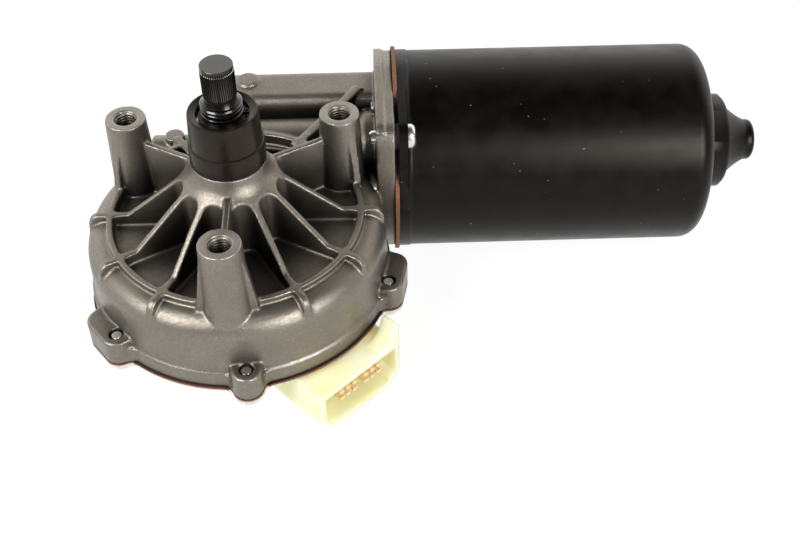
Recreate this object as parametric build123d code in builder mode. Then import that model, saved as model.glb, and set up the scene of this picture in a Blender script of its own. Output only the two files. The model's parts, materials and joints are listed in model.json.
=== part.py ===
from build123d import *
import os
from math import acos, atan2, cos, degrees, pi, radians, sin, sqrt, tan

# Heavy-duty wiper motor: a two-speed permanent-magnet motor drives a worm, and the worm
# turns a 50-tooth wheel on the output spindle. Millimetres, +Z up along the spindle. The
# origin is on the spindle axis, in the plane of the three mounting post tops. +X runs along
# the motor, from the worm's tail to the can's rear bearing.

# Worm drive
MODULE = 2.0
WHEEL_TEETH = 50
WORM_PITCH_R = 7.6
ADDENDUM = MODULE
DEDENDUM = 1.2 * MODULE
PRESSURE_ANGLE = radians(20)
TOOTH_PLAY = 0.32                     # taken off each tooth and each thread, for backlash
LEAD = pi * MODULE                    # one start
WHEEL_PITCH_R = MODULE * WHEEL_TEETH / 2
WORM_ROOT_R = WORM_PITCH_R - DEDENDUM
WHEEL_TIP_R = WHEEL_PITCH_R + ADDENDUM
WHEEL_ROOT_R = WHEEL_PITCH_R - DEDENDUM - 0.2
WORM_TURNS = 6.5                      # a quarter past a whole turn each side, see worm_thread
WORM_HALF_LENGTH = LEAD * WORM_TURNS / 2

# Axes
MOTOR_Y = WHEEL_PITCH_R + WORM_PITCH_R
MOTOR_Z = -46.0

# Spindle, from the top
SPINDLE_TOP = 40.0
SPLINE_R = 6.0
SPLINE_FOOT = 27.0
JOURNAL_R = 7.5
JOURNAL_TOP = 24.6
HUB_SEAT_R = 7.0
SPINDLE_END = -57.6
RUNNING_GAP = 0.04
CIRCLIP_GROOVE = (17.5, 18.7)         # lower and upper face of the groove
GROOVE_R = 6.9

# Neck and sleeve
NECK_R = 10.4
NECK_TOP = 16.4
NECK_BORE_R = 9.0
SLEEVE_TOP = 20.5
SLEEVE_FOOT = -1.1

# Bell housing
RIBS = 12
RIB_HALF = 1.25
HUB_R = 17.0
HUB_TOP = -8.0
SLOPE_END_R = 40.5
RIB_LEVEL = -27.3
RING_R = 47.5
POCKET_FLOOR = -32.0
LEDGE = -30.0
SHOULDER_R = 8.5
WALL_TOP = LEDGE - SHOULDER_R
WALL_R = 57.0
WALL_FOOT_R = 57.5
RIM_R = 58.5
RIM_TOP = -54.2
GASKET_TOP = -60.8
CAVITY_R = 53.6
CAVITY_ROOF = -36.0
BUSH_BOSS_END = -38.0

# Mounting posts: M8 threads, 46.5 mm from the spindle
POST_PITCH_R = 46.5
POST_AZIMUTHS = (30, 150, 270)
POST_R = 7.65
POST_DRAFT = 0.04
POST_HOLE_R = 4.0
POST_HOLE_DEPTH = 18.0
POST_RIB_TOPS = {30: HUB_TOP, 150: HUB_TOP, 270: HUB_TOP + 1.2}

# Cover screws
LUG_PITCH_R = 59.6
LUG_AZIMUTHS = (-137.2, -85.2, -16.4, 40.0, 140.0)
LUG_R = 5.75
LUG_TOP = -50.0
LUG_TAILS = {-137.2: -10.0, -16.4: 10.0}  # how far a long pad runs past its screw, sideways
LUG_SEAT_R = 56.9
LUG_BLEND = 4.5
PAD_ROUNDING = 1.0
M5_R = 2.5

# Gasket and cover
COVER_TOP = GASKET_TOP - 0.8
COVER_BOTTOM = COVER_TOP - 1.5
COVER_PAN_R = 33.0
COVER_PAN_DROP = 2.5

# Motor
FLANGE_FACE = 54.0
FLANGE_STEP = 57.2
FLANGE_END = 61.2
CAN_START = 62.8
CAN_FLANGE_END = 66.2
CAN_R = 41.0
CAN_WALL = 3.0
CAN_END = 189.2
CAN_ROUNDING = 7.5
CAN_FLANGE_R = 41.4
DRAW_R = 2.2
SCREW_HEAD_R = 5.0
EAR_ANGLE = 135.2                     # seen along +X: from +Y towards +Z
EAR_PITCH_R = 46.5
EAR_R = 6.8
GASKET_R = 42.8
GASKET_BORE_R = 36.0
GASKET_SHIFT = (-0.3, 0.3)
FLANGE_SLOT = (-23.2, -17.2)           # lower and upper end of the slot beside the upper ear
FLANGE_SLOT_DEPTH = 1.2
REAR_BOSS_R = 19.7
REAR_BOSS_END = 200.5
CAP_BRIM_R = 16.4
CAP_WAIST = 210.8
CAP_END = 214.2
REAR_JOURNAL = 187.2
SHAFT_END = 210.4
SHAFT_R = 5.0
CORE_R = 30.2
MAGNET_R = (31.0, CAN_R - CAN_WALL)
CORE_X = (104.0, 168.0)
COMMUTATOR_X = (74.0, 92.0)
COMMUTATOR_R = 14.0
BEARING_X = (49.2, FLANGE_STEP)
BEARING_R = 13.0
BALL_R = 2.2
BALL_PITCH_R = 9.0
REAR_BUSH_R = 15.5
BRUSH_PLATE_X = (63.4, 66.4)
BRUSH_X = (70.0, 84.0)
BRUSH_ANGLES = (90, 270, 35)
SLOTS = 12
SLOT_PITCH_R = 22.5
SLOT_R = 4.4
WORM_BORE_R = 10.4
TAIL_BORE_R = 6.0
TAIL_END = -40.0

CHAMBER_START = -8.0
CHAMBER_CENTRE = (81.0 - MOTOR_Y, -40.4 - MOTOR_Z)
THRUST_SCREW_R = 4.0

# Connector: seen from the spindle, it points out at this azimuth
CONNECTOR_AZIMUTH = -47
SOCKET_FACE = 68.5
SOCKET_LEFT = -21.0
SOCKET_RIGHT = 19.0
CONNECTOR_TOP = COVER_BOTTOM
CONNECTOR_BOTTOM = -84.0
CONNECTOR_BACK = 39.0
SOCKET_WALL = 1.9
SOCKET_DEPTH = 15.0
CORNER_CUT = 4.6
CONNECTOR_WING = ((9.0, -63.6), (19.0, -63.6), (19.0, -53.4), (17.2, -53.4), (15.6, -58.2),
                  (14.0, -60.6), (10.9, -62.4), (9.0, -62.9))
WING_DEPTH = 7.5
SOCKET_HEIGHT = CONNECTOR_TOP - CONNECTOR_BOTTOM - 2 * SOCKET_WALL
SOCKET_CENTRE = ((SOCKET_LEFT + SOCKET_RIGHT) / 2, (CONNECTOR_TOP + CONNECTOR_BOTTOM) / 2)
STEM_REACH = (42.0, 52.0)             # where the connector passes up through the cover
STEM_HALF = 13.0
TERMINAL_GROUPS = ((-5.5, -72.9), (7.0, -73.2))
TERMINAL_RECESS = 2.5                 # from the socket's face to the blades' tips

# Wheel and park switch
WHEEL_HALF_FACE = 6.0
WHEEL_BOTTOM = MOTOR_Z - WHEEL_HALF_FACE
WHEEL_HUB_TOP = -39.2
HUB_SEAT_TOP = WHEEL_HUB_TOP
LOWER_GROOVE = (-54.8, -53.6)
CONTACT_DISC_THICK = 0.6
CONTACT_PLATE_Z = -60.4
CONTACT_PLATE_THICK = 1.4

SPINDLE_PLANE = Plane.XZ
MOTOR_PLANE = Plane(origin=(0, MOTOR_Y, MOTOR_Z), x_dir=(1, 0, 0), z_dir=(0, -1, 0))
MOTOR_AXIS = Axis((0, MOTOR_Y, MOTOR_Z), (1, 0, 0))
DOWNWARDS = (Align.CENTER, Align.CENTER, Align.MAX)


def radial_plane(azimuth):
    """The upright plane through the spindle axis: x runs outwards and y runs up."""
    a = radians(azimuth)
    return Plane(origin=(0, 0, 0), x_dir=(cos(a), sin(a), 0), z_dir=(sin(a), -cos(a), 0))


def tangent_plane(azimuth, radius):
    """The upright plane that faces outwards at this radius: x runs sideways and y runs up."""
    a = radians(azimuth)
    origin = (radius * cos(a), radius * sin(a), 0)
    return Plane(origin=origin, x_dir=(-sin(a), cos(a), 0), z_dir=(cos(a), sin(a), 0))


def level_plane(azimuth, height):
    """A level plane at this height: x runs outwards at the azimuth."""
    a = radians(azimuth)
    return Plane(origin=(0, 0, height), x_dir=(cos(a), sin(a), 0), z_dir=(0, 0, 1))


def cross_plane(x):
    """The plane square to the motor axis: its x runs along +Y and its y along +Z."""
    return Plane(origin=(x, MOTOR_Y, MOTOR_Z), x_dir=(0, 1, 0), z_dir=(1, 0, 0))


def polar(radius, azimuth):
    return radius * cos(radians(azimuth)), radius * sin(radians(azimuth))


def turned(points, plane=SPINDLE_PLANE, axis=Axis.Z):
    """A solid of revolution with straight flanks."""
    with BuildPart() as solid:
        with BuildSketch(plane):
            with BuildLine():
                Polyline(*points, close=True)
            make_face()
        revolve(axis=axis)
    return solid.part


def ring(inner, outer, low, high, plane=SPINDLE_PLANE, axis=Axis.Z, soften=0.0):
    """A plain ring, with its outer edges chamfered by soften."""
    if plane is SPINDLE_PLANE:
        points = [(inner, low), (outer - soften, low), (outer, low + soften),
                  (outer, high - soften), (outer - soften, high), (inner, high)]
    else:
        points = [(low, inner), (low, outer - soften), (low + soften, outer),
                  (high - soften, outer), (high, outer - soften), (high, inner)]
    if not soften:
        points = [points[0], points[2], points[3], points[5]]
    return turned(points, plane, axis)


def motor_ring(inner, outer, start, end, soften=0.0):
    return ring(inner, outer, start, end, MOTOR_PLANE, MOTOR_AXIS, soften)


# ---------------------------------------------------------------- gear housing

def rib_pocket():
    """The space between two ribs: round next to the hub, and bounded by the ring outside."""
    half = radians(180 / RIBS)
    inner_x = HUB_R + 1.0
    inner_y = (inner_x - RIB_HALF * sin(half)) * tan(half) - RIB_HALF * cos(half)
    outer_r = RING_R - RIB_HALF
    reach = sqrt(outer_r ** 2 - RIB_HALF ** 2)
    outer_x = reach * cos(half) + RIB_HALF * sin(half)
    outer_y = reach * sin(half) - RIB_HALF * cos(half)
    with BuildPart() as pocket:
        with BuildSketch(Plane.XY.offset(POCKET_FLOOR)) as outline:
            with BuildLine():
                Line((outer_x, -outer_y), (inner_x, -inner_y))
                Line((inner_x, -inner_y), (inner_x, inner_y))
                Line((inner_x, inner_y), (outer_x, outer_y))
                ThreePointArc((outer_x, outer_y), (outer_r, 0), (outer_x, -outer_y))
            make_face()
            corners = outline.vertices().sort_by(Axis.X)
            fillet(corners[:2], radius=inner_y)
            fillet(outline.vertices().sort_by(Axis.X)[-2:], radius=1.5)
        extrude(amount=-POCKET_FLOOR)
        fillet(pocket.edges().group_by(Axis.Z)[0], radius=1.2)
    return pocket.part


def solid_bell():
    """The bell's outside, from the neck down to the gasket face, still solid."""
    corner = SHOULDER_R * (1 - sqrt(0.5))
    centre = WALL_R - SHOULDER_R
    ledge_edge = (centre, LEDGE)
    shoulder_foot = (WALL_R, WALL_TOP)
    with BuildPart() as bell:
        with BuildSketch(SPINDLE_PLANE):
            with BuildLine():
                Polyline((0, NECK_TOP), (NECK_R, NECK_TOP), (NECK_R, SLEEVE_FOOT),
                         (13.7, SLEEVE_FOOT))
                ThreePointArc((13.7, SLEEVE_FOOT), (14.6, -4.9), (HUB_R, HUB_TOP))
                Polyline((HUB_R, HUB_TOP), (SLOPE_END_R, RIB_LEVEL),
                         (RING_R + RIB_HALF, RIB_LEVEL), ledge_edge)
                ThreePointArc(ledge_edge, (WALL_R - corner, LEDGE - corner), shoulder_foot)
                Polyline(shoulder_foot, (WALL_FOOT_R, RIM_TOP + 0.5), (RIM_R, RIM_TOP),
                         (RIM_R, GASKET_TOP), (0, GASKET_TOP), (0, NECK_TOP))
            make_face()
        revolve(axis=Axis.Z)
    return bell.part


def stub_rib(azimuth):
    """A rib's end outside the ring, which rounds over and dies into the shoulder."""
    with BuildPart() as stub:
        with BuildSketch(radial_plane(azimuth)):
            with BuildLine():
                Polyline((44, -34), (44, RIB_LEVEL), (52.4, RIB_LEVEL))
                ThreePointArc((52.4, RIB_LEVEL), (54.9, -28.7), (56.1, -32.0))
                Polyline((56.1, -32.0), (56.8, -39.0), (50, -39.0), (44, -34))
            make_face()
        extrude(amount=RIB_HALF + 0.2, both=True)
    return stub.part


def mounting_post(azimuth, rib_top):
    """A drafted post on the ring, with a gusset on both sides and a tall rib to the hub."""
    depth = 41.0
    x, y = polar(POST_PITCH_R, azimuth)
    rib_end = POST_PITCH_R - 4
    with BuildPart() as post:
        with Locations((x, y, 0)):
            Cone(POST_R + POST_DRAFT * depth, POST_R, depth, align=DOWNWARDS)
        with BuildSketch(tangent_plane(azimuth, RING_R)):
            with BuildLine():
                Polyline((-7.7, -6.2), (7.7, -6.2), (10.8, RIB_LEVEL), (10.8, -35),
                         (-10.8, -35), (-10.8, RIB_LEVEL), close=True)
            make_face()
        extrude(amount=1.6, both=True)
        with BuildSketch(radial_plane(azimuth)):
            with BuildLine():
                Polyline((12, rib_top), (rib_end, rib_top - 0.8), (rib_end, -33), (12, -33),
                         close=True)
            make_face()
        extrude(amount=RIB_HALF, both=True)
    return post.part


def pad_ends(azimuth):
    """The centres of a pad's round ends, seen from above with x outwards at its azimuth."""
    ends = [Vector(LUG_PITCH_R, 0)]
    if azimuth in LUG_TAILS:
        ends.append(Vector(LUG_PITCH_R - 0.8, LUG_TAILS[azimuth]))
    return sorted(ends, key=lambda end: end.Y)


def pad_outline(azimuth):
    """A screw pad seen from above: a little wider towards the bell."""
    ends = pad_ends(azimuth)
    half = LUG_R + 1.0
    with BuildSketch() as outline:
        with BuildLine():
            for end in ends:
                CenterArc(end, LUG_R, 0, 360)
            Line((51.0, ends[0].Y - half), (51.0, ends[-1].Y + half))
        make_hull()
    return outline.sketch


def pad_blend(end, side):
    """The web in the corner between the rim and a pad's round end, on one side of it."""
    from_spindle, from_end = RIM_R + LUG_BLEND, LUG_R + LUG_BLEND
    turn = acos((from_spindle ** 2 + end.length ** 2 - from_end ** 2)
                / (2 * from_spindle * end.length))
    centre = Vector(from_spindle, 0).rotate(Axis.Z, degrees(atan2(end.Y, end.X) + side * turn))
    on_rim = centre * (RIM_R / from_spindle)
    on_pad = end + (centre - end) * (LUG_R / from_end)
    middle = centre + ((on_rim + on_pad) / 2 - centre).normalized() * LUG_BLEND
    with BuildSketch() as web:
        with BuildLine():
            ThreePointArc(on_rim, middle, on_pad)
            Polyline(on_pad, end, end * 0.9, on_rim * 0.9, on_rim)
        make_face()
    return web.sketch


def rim_blends(azimuth):
    """Both webs of a pad, in one sketch with x outwards at its azimuth."""
    ends = pad_ends(azimuth)
    with BuildSketch() as webs:
        add(pad_blend(ends[0], -1))
        add(pad_blend(ends[-1], 1))
    return webs.sketch


def cover_lug(azimuth):
    """A screw pad on the rim, with webs into the rim beside it."""
    with BuildPart() as lug:
        with BuildSketch(Plane.XY.offset(GASKET_TOP)):
            add(pad_outline(azimuth), rotation=azimuth)
        extrude(amount=LUG_TOP - GASKET_TOP)
        fillet(lug.faces().sort_by(Axis.Z)[-1].edges(), radius=PAD_ROUNDING)
        with BuildSketch(Plane.XY.offset(GASKET_TOP)):
            add(rim_blends(azimuth), rotation=azimuth)
        extrude(amount=RIM_TOP - GASKET_TOP)
    return lug.part


def lug_seat(azimuth):
    """What is cut from the bell wall above a pad, to leave a flat for the screw's tip."""
    tail = LUG_TAILS.get(azimuth, 0)
    with BuildPart() as seat:
        with BuildSketch(level_plane(azimuth, LUG_TOP)):
            with Locations((LUG_SEAT_R + 6, tail / 2)):
                Rectangle(12, 15.0 + abs(tail))
        extrude(amount=WALL_TOP - LUG_TOP)
    return seat.part


def flange_slice(radius, start, end, ear_r=EAR_R, lip=0.0, bore=0.0, screw_hole=0.0):
    """A slice of the flange between casting and can: a disc drawn out to its two screw ears.

    A lip, where one is given, is added along the upper half, from ear to ear.
    """
    with BuildPart() as flange:
        with BuildSketch(cross_plane(start)):
            if lip:
                add(flange_outline(radius + lip, ear_r + lip))
                Rectangle(200, 100, rotation=EAR_ANGLE, align=(Align.CENTER, Align.MIN),
                          mode=Mode.SUBTRACT)
            add(flange_outline(radius, ear_r))
            if bore:
                Circle(bore, mode=Mode.SUBTRACT)
            if screw_hole:
                with PolarLocations(EAR_PITCH_R, 2, EAR_ANGLE):
                    Circle(screw_hole, mode=Mode.SUBTRACT)
        extrude(amount=end - start)
    return flange.part


def flange_outline(radius, ear_r):
    """A disc with two ears and straight tangents between them."""
    with BuildSketch() as outline:
        with BuildLine():
            CenterArc((0, 0), radius, 0, 360)
            for angle in (EAR_ANGLE, EAR_ANGLE + 180):
                CenterArc(polar(EAR_PITCH_R, angle), ear_r, 0, 360)
        make_hull()
    return outline.sketch


def worm_tunnel():
    """The tube round the worm, with its tail to the left and its flare to the motor."""
    with BuildPart() as tunnel:
        with BuildSketch(MOTOR_PLANE):
            with BuildLine():
                Polyline((TAIL_END, 0), (TAIL_END, 7.2), (TAIL_END + 0.8, 8.0), (-22.5, 8.0),
                         (-19.5, 9.5), (-18.0, 13.5), (44.0, 13.5), (49.5, 16.5),
                         (FLANGE_STEP, 16.5), (FLANGE_STEP, 0), close=True)
            make_face()
        revolve(axis=MOTOR_AXIS)
        with Locations((-30, MOTOR_Y, MOTOR_Z + 6)):
            Cylinder(4.0, 8.6)
    return tunnel.part


def choke_chamber():
    """The long box behind the tunnel, open to the motor, which holds the chokes."""
    with BuildPart() as chamber:
        with BuildSketch(cross_plane(CHAMBER_START)):
            with Locations(CHAMBER_CENTRE):
                RectangleRounded(22.0, 23.6, 5.0)
        extrude(amount=FLANGE_STEP - CHAMBER_START)
        with BuildSketch(cross_plane(CHAMBER_START + 4)):
            with Locations((66.0 - MOTOR_Y, 0)):
                Rectangle(18.0, 9.0)
        extrude(amount=FLANGE_STEP - CHAMBER_START - 4)
        with Locations((0, 84, -28.2)):
            Cylinder(4.7, 1.6)
    return chamber.part


def diagonal_web():
    """The web that crosses the tunnel from the bell to the choke chamber."""
    start, end = Vector(19.4, 39.9, -50), Vector(45.9, 78.5, -50)
    along = (end - start).normalized()
    with BuildPart() as web:
        with BuildSketch(Plane(origin=start, x_dir=along, z_dir=(0, 0, 1))):
            Rectangle((end - start).length, 4.0, align=(Align.MIN, Align.MAX))
        extrude(amount=22.4)
    return web.part


def casting_core():
    """The hollow of the bell and the neck's bore, turned about the spindle."""
    return turned([(0, GASKET_TOP - 1), (CAVITY_R, GASKET_TOP - 1),
                   (CAVITY_R, CAVITY_ROOF - 3), (CAVITY_R - 3, CAVITY_ROOF),
                   (12.5, CAVITY_ROOF), (12.5, BUSH_BOSS_END), (NECK_BORE_R, BUSH_BOSS_END),
                   (NECK_BORE_R, NECK_TOP + 1), (0, NECK_TOP + 1)])


def worm_bore():
    """The bores on the motor axis: thrust screw, tail bush, worm, ball bearing, recess."""
    return turned([(TAIL_END - 1, 0), (TAIL_END - 1, THRUST_SCREW_R), (-35.0, THRUST_SCREW_R),
                   (-35.0, TAIL_BORE_R), (-24.0, TAIL_BORE_R), (-24.0, WORM_BORE_R),
                   (BEARING_X[0], WORM_BORE_R), (BEARING_X[0], BEARING_R),
                   (FLANGE_STEP, BEARING_R), (FLANGE_STEP, 33.0), (FLANGE_END + 1, 33.0),
                   (FLANGE_END + 1, 0)], MOTOR_PLANE, MOTOR_AXIS)


def chamber_core():
    """The hollow of the choke chamber, which opens into the flange's recess."""
    with BuildPart() as core:
        with BuildSketch(cross_plane(CHAMBER_START + 3)):
            with Locations(CHAMBER_CENTRE):
                RectangleRounded(16.0, 17.6, 2.5)
        extrude(amount=FLANGE_END - CHAMBER_START - 2)
    return core.part


def gear_housing():
    pocket = rib_pocket()
    with BuildPart() as housing:
        add(solid_bell())
        with PolarLocations(0, RIBS, 180 / RIBS):
            add(pocket, mode=Mode.SUBTRACT)
        for azimuth in range(0, 360, 360 // RIBS):
            if azimuth not in POST_AZIMUTHS:
                add(stub_rib(azimuth))
        for azimuth in POST_AZIMUTHS:
            add(mounting_post(azimuth, POST_RIB_TOPS[azimuth]))
        for azimuth in LUG_AZIMUTHS:
            add(cover_lug(azimuth))
            add(lug_seat(azimuth), mode=Mode.SUBTRACT)
        add(worm_tunnel())
        add(choke_chamber())
        add(diagonal_web())
        add(flange_slice(CAN_R, FLANGE_FACE, FLANGE_STEP, lip=0.8))
        add(flange_slice(CAN_R, FLANGE_STEP, FLANGE_END))
        with Locations(Location((FLANGE_FACE, 63, -29), (0, 90, 0))):
            Cylinder(3.0, 3.4)
        add(casting_core(), mode=Mode.SUBTRACT)
        add(worm_bore(), mode=Mode.SUBTRACT)
        add(chamber_core(), mode=Mode.SUBTRACT)
        for azimuth in POST_AZIMUTHS:
            with Locations((*polar(POST_PITCH_R, azimuth), 0)):
                CounterSinkHole(POST_HOLE_R, POST_HOLE_R + 0.5, POST_HOLE_DEPTH, 90)
        for azimuth in LUG_AZIMUTHS:
            with Locations((*polar(LUG_PITCH_R, azimuth), LUG_TOP)):
                Cylinder(M5_R + 0.2, 3.0, align=DOWNWARDS, mode=Mode.SUBTRACT)
                Cylinder(M5_R, LUG_TOP - GASKET_TOP + 1, align=DOWNWARDS, mode=Mode.SUBTRACT)
        with Locations(cross_plane(FLANGE_END)):
            with PolarLocations(EAR_PITCH_R, 2, EAR_ANGLE):
                Hole(M5_R, FLANGE_END - FLANGE_FACE + 2)
    return housing.part


# ---------------------------------------------------------------- cover, gasket, seals

def rim_slice(low, high, inner=0.0, screw_hole=M5_R + 0.2):
    """A flat slice with the rim's outline, cut straight where the motor flange passes."""
    with BuildPart() as slab:
        with BuildSketch(Plane.XY.offset(low)):
            Circle(RIM_R)
            for azimuth in LUG_AZIMUTHS:
                add(pad_outline(azimuth), rotation=azimuth)
                add(rim_blends(azimuth), rotation=azimuth)
            if inner:
                Circle(inner, mode=Mode.SUBTRACT)
            for azimuth in LUG_AZIMUTHS:
                with Locations(polar(LUG_PITCH_R, azimuth)):
                    Circle(screw_hole, mode=Mode.SUBTRACT)
            with Locations((FLANGE_FACE - 0.4, 14.0)):
                Rectangle(20, 60, align=(Align.MIN, Align.MIN), mode=Mode.SUBTRACT)
        extrude(amount=high - low)
    return slab.part


def cover_gasket():
    return rim_slice(COVER_TOP, GASKET_TOP, CAVITY_R)


def gear_cover():
    """A pressed steel plate with a shallow pan under the wheel and a slot for the connector."""
    pan = turned([(0, COVER_TOP + 1), (0, COVER_TOP - COVER_PAN_DROP),
                  (COVER_PAN_R - COVER_PAN_DROP, COVER_TOP - COVER_PAN_DROP),
                  (COVER_PAN_R, COVER_TOP), (COVER_PAN_R, COVER_TOP + 1)])
    dish = turned([(0, COVER_TOP), (0, COVER_BOTTOM - COVER_PAN_DROP),
                   (COVER_PAN_R - COVER_PAN_DROP + 0.8, COVER_BOTTOM - COVER_PAN_DROP),
                   (COVER_PAN_R + 0.8, COVER_BOTTOM), (COVER_PAN_R + 0.8, COVER_TOP)])
    with BuildPart() as cover:
        add(rim_slice(COVER_BOTTOM, COVER_TOP))
        add(dish)
        add(pan, mode=Mode.SUBTRACT)
        with BuildSketch(level_plane(CONNECTOR_AZIMUTH, COVER_BOTTOM)):
            with Locations((sum(STEM_REACH) / 2, 0)):
                Rectangle(STEM_REACH[1] - STEM_REACH[0] + 0.4, 2 * STEM_HALF + 0.4)
        extrude(amount=3, mode=Mode.SUBTRACT)
    return cover.part


def pan_screw(length, head_r=4.5, head_height=3.2):
    """A pan-head screw that points up: its head hangs below the origin."""
    with BuildPart() as screw:
        with BuildSketch(Plane.XZ):
            with BuildLine():
                Polyline((0, -head_height), (head_r - 1.6, -head_height))
                RadiusArc((head_r - 1.6, -head_height), (head_r, -head_height + 1.6), -1.7)
                Polyline((head_r, -head_height + 1.6), (head_r, 0), (M5_R, 0),
                         (M5_R, length - 0.8), (M5_R - 0.7, length), (0, length),
                         (0, -head_height))
            make_face()
        revolve(axis=Axis.Z)
        with BuildSketch(Plane.XY.offset(-head_height)):
            RegularPolygon(radius=1.9, side_count=6)
        extrude(amount=1.6, mode=Mode.SUBTRACT)
    return screw.part


def cover_screws():
    screw = pan_screw(LUG_TOP - COVER_BOTTOM - 0.8)
    with BuildPart() as screws:
        for azimuth in LUG_AZIMUTHS:
            with Locations((*polar(LUG_PITCH_R, azimuth), COVER_BOTTOM)):
                add(screw)
    return screws.part


def sealing_sleeve():
    """The rubber sleeve that seals the neck to the vehicle's panel."""
    return turned([(NECK_R, SLEEVE_FOOT), (13.6, SLEEVE_FOOT), (13.9, SLEEVE_FOOT + 0.4),
                   (13.9, 7.1), (13.6, 7.5), (13.3, 7.6), (12.6, SLEEVE_TOP - 0.7),
                   (12.0, SLEEVE_TOP), (11.2, SLEEVE_TOP), (NECK_R + 0.2, SLEEVE_TOP - 0.8),
                   (NECK_R + 0.2, NECK_TOP), (NECK_R, NECK_TOP)])


def spindle_seal():
    return ring(JOURNAL_R + RUNNING_GAP, NECK_BORE_R, 13.0, 16.2)


def upper_bush():
    return ring(JOURNAL_R + RUNNING_GAP, NECK_BORE_R, -0.5, 12.8)


def lower_bush():
    return ring(JOURNAL_R + RUNNING_GAP, NECK_BORE_R, BUSH_BOSS_END + 0.3, -22.0)


# ---------------------------------------------------------------- connector and contacts

def connector_housing():
    """A nylon housing under the cover. Its wide socket points out past the rim."""
    sideways = Plane(origin=(0, 0, 0), x_dir=radial_plane(CONNECTOR_AZIMUTH).x_dir,
                     z_dir=radial_plane(CONNECTOR_AZIMUTH).z_dir).offset(-SOCKET_RIGHT)
    along = Axis((0, 0, 0), radial_plane(CONNECTOR_AZIMUTH).x_dir)
    width = SOCKET_RIGHT - SOCKET_LEFT
    with BuildPart() as connector:
        with BuildSketch(sideways):
            with BuildLine():
                Polyline((CONNECTOR_BACK, CONNECTOR_TOP), (SOCKET_FACE, CONNECTOR_TOP),
                         (SOCKET_FACE, CONNECTOR_BOTTOM), (CONNECTOR_BACK + 3, CONNECTOR_BOTTOM),
                         (CONNECTOR_BACK, CONNECTOR_BOTTOM + 5), close=True)
            make_face()
        extrude(amount=width)
        chamfer(connector.edges().filter_by(along).group_by(Axis.Z)[0], length=CORNER_CUT)
        with BuildSketch(tangent_plane(CONNECTOR_AZIMUTH, SOCKET_FACE)):
            Polygon(*CONNECTOR_WING, align=None)
        extrude(amount=-WING_DEPTH)
        with BuildSketch(tangent_plane(CONNECTOR_AZIMUTH, SOCKET_FACE)) as mouth:
            with Locations(SOCKET_CENTRE):
                Rectangle(width - 2 * SOCKET_WALL, SOCKET_HEIGHT)
            chamfer(mouth.vertices().group_by(Axis.Y)[0], length=CORNER_CUT - 0.8)
        extrude(amount=-SOCKET_DEPTH, mode=Mode.SUBTRACT)
        with BuildSketch(level_plane(CONNECTOR_AZIMUTH, CONNECTOR_BOTTOM)):
            with Locations(((CONNECTOR_BACK + 3 + SOCKET_FACE - SOCKET_DEPTH - 2) / 2, -1)):
                Rectangle(SOCKET_FACE - SOCKET_DEPTH - CONNECTOR_BACK - 7, width - 8)
        extrude(amount=15, mode=Mode.SUBTRACT)
        with BuildSketch(level_plane(CONNECTOR_AZIMUTH, COVER_BOTTOM)):
            with Locations((sum(STEM_REACH) / 2, 0)):
                Rectangle(STEM_REACH[1] - STEM_REACH[0], 2 * STEM_HALF)
        extrude(amount=CONTACT_PLATE_Z - COVER_BOTTOM)
    return connector.part


def connector_terminals():
    """Two groups of six blades that stand out of the socket's back wall."""
    with BuildPart() as blades:
        with BuildSketch(tangent_plane(CONNECTOR_AZIMUTH, SOCKET_FACE - SOCKET_DEPTH)):
            for centre in TERMINAL_GROUPS:
                with Locations(centre):
                    with GridLocations(3.2, 3.6, 3, 2):
                        Rectangle(1.9, 1.2)
        extrude(amount=SOCKET_DEPTH - TERMINAL_RECESS)
    return blades.part


def contact_plate():
    """The insulating plate that carries the park switch's fingers, on its two feet."""
    with BuildPart() as plate:
        with BuildSketch(level_plane(CONNECTOR_AZIMUTH, CONTACT_PLATE_Z)):
            with Locations(((12.0 + STEM_REACH[1]) / 2, 0)):
                RectangleRounded(STEM_REACH[1] - 12.0, 30.0, 4.0)
        extrude(amount=CONTACT_PLATE_THICK)
        with BuildSketch(level_plane(CONNECTOR_AZIMUTH, CONTACT_PLATE_Z)):
            with Locations((17.0, 10.5), (17.0, -10.5)):
                Circle(3.0)
        extrude(amount=COVER_TOP - COVER_PAN_DROP - CONTACT_PLATE_Z)
    return plate.part


def contact_springs():
    """Three sprung fingers, one for each track of the contact disc."""
    base = CONTACT_PLATE_Z + CONTACT_PLATE_THICK
    top = WHEEL_BOTTOM - CONTACT_DISC_THICK - 0.2
    with BuildPart() as fingers:
        for side, track in ((-8.0, 22.0), (0.0, 26.0), (8.0, 30.5)):
            tip = sqrt(track ** 2 - side ** 2)
            plane = radial_plane(CONNECTOR_AZIMUTH).offset(-side)
            with BuildSketch(plane):
                with BuildLine():
                    Polyline((49, base), (41, base), (tip + 3, top - 0.5), (tip, top - 0.9),
                             (tip - 2.5, top - 1.6), (tip - 2.5, top - 1.0), (tip, top),
                             (tip + 3, top), (41, base + 0.6), (49, base + 0.6), close=True)
                make_face()
            extrude(amount=2.0, both=True)
    return fingers.part


# ---------------------------------------------------------------- output spindle

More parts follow.
